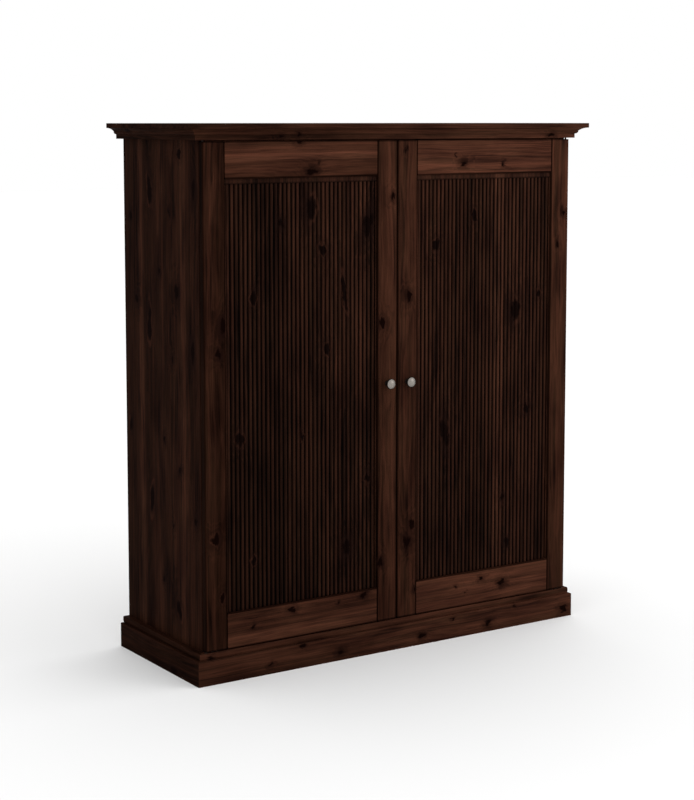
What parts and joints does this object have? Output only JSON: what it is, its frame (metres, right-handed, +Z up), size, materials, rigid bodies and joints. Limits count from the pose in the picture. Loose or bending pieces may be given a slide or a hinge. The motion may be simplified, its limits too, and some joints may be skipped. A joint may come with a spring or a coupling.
{
  "type": "two-door wardrobe",
  "caption": "Low, wide solid-pine wardrobe: two frame doors with reeded panels on pin pivots, moulded cornice and plinth, a hanging bay and a shelved bay.",
  "frame": {"origin": "centre of the overall footprint, on the floor", "axes": "+X to the right as seen from the front, front towards -Y, +Z up"},
  "size_m": [1.3, 0.474, 1.45],
  "materials": {
    "stained_pine": "satin",
    "stained_pine_reeded": "satin",
    "stained_pine_inside": "matt",
    "back_sheet": "matt",
    "beech_dowel": "bare",
    "knob_metal": "satin",
    "plated_steel": "satin",
    "bright_steel": "bright",
    "catch_plastic": "matt",
    "felt": "felt"
  },
  "bodies": {
    "carcass": {"back_base_rail": "stained_pine_inside", "back_nails": "bright_steel", "back_panel_left": "back_sheet", "back_panel_right": "back_sheet", "bottom_panel": "stained_pine", "carcass_screws": "bright_steel", "clothes_rail": "plated_steel", "cornice_back_rail": "stained_pine_inside", "cornice_dowels": "beech_dowel", "cornice_front": "stained_pine", "cornice_left": "stained_pine", "cornice_right": "stained_pine", "front_base_rail": "stained_pine_inside", "lower_pivot_left": "plated_steel", "lower_pivot_right": "plated_steel", "magnet_catch_left": "catch_plastic", "magnet_catch_right": "catch_plastic", "partition": "stained_pine_inside", "plinth_front": "stained_pine", "plinth_left": "stained_pine", "plinth_right": "stained_pine", "rail_socket_left": "plated_steel", "rail_socket_right": "plated_steel", "shelf_1": "stained_pine_inside", "shelf_2": "stained_pine_inside", "shelf_3": "stained_pine_inside", "shelf_pins": "plated_steel", "side_panel_left": "stained_pine", "side_panel_right": "stained_pine", "top_board": "stained_pine", "top_panel": "stained_pine", "upper_pivot_left": "plated_steel", "upper_pivot_right": "plated_steel"},
    "door_left": {"door_left_bottom_pivot": "plated_steel", "door_left_bottom_rail": "stained_pine", "door_left_buffers": "felt", "door_left_hinge_stile": "stained_pine", "door_left_knob": "knob_metal", "door_left_knob_screw": "bright_steel", "door_left_meeting_stile": "stained_pine", "door_left_reeded_panel": "stained_pine_reeded", "door_left_screws": "bright_steel", "door_left_strike_plate": "plated_steel", "door_left_top_pivot": "plated_steel", "door_left_top_rail": "stained_pine"},
    "door_right": {"door_right_bottom_pivot": "plated_steel", "door_right_bottom_rail": "stained_pine", "door_right_buffers": "felt", "door_right_hinge_stile": "stained_pine", "door_right_knob": "knob_metal", "door_right_knob_screw": "bright_steel", "door_right_meeting_stile": "stained_pine", "door_right_reeded_panel": "stained_pine_reeded", "door_right_screws": "bright_steel", "door_right_strike_plate": "plated_steel", "door_right_top_pivot": "plated_steel", "door_right_top_rail": "stained_pine"}
  },
  "joints": [
    {"name": "door_left_hinge", "type": "hinge", "parent": "carcass", "child": "door_left", "pos_m": [-0.5945, -0.1985, 0.746], "axis": [0, 0, -1], "range_deg": [0, 110]},
    {"name": "door_right_hinge", "type": "hinge", "parent": "carcass", "child": "door_right", "pos_m": [0.5945, -0.1985, 0.746], "axis": [0, 0, 1], "range_deg": [0, 110]}
  ]
}
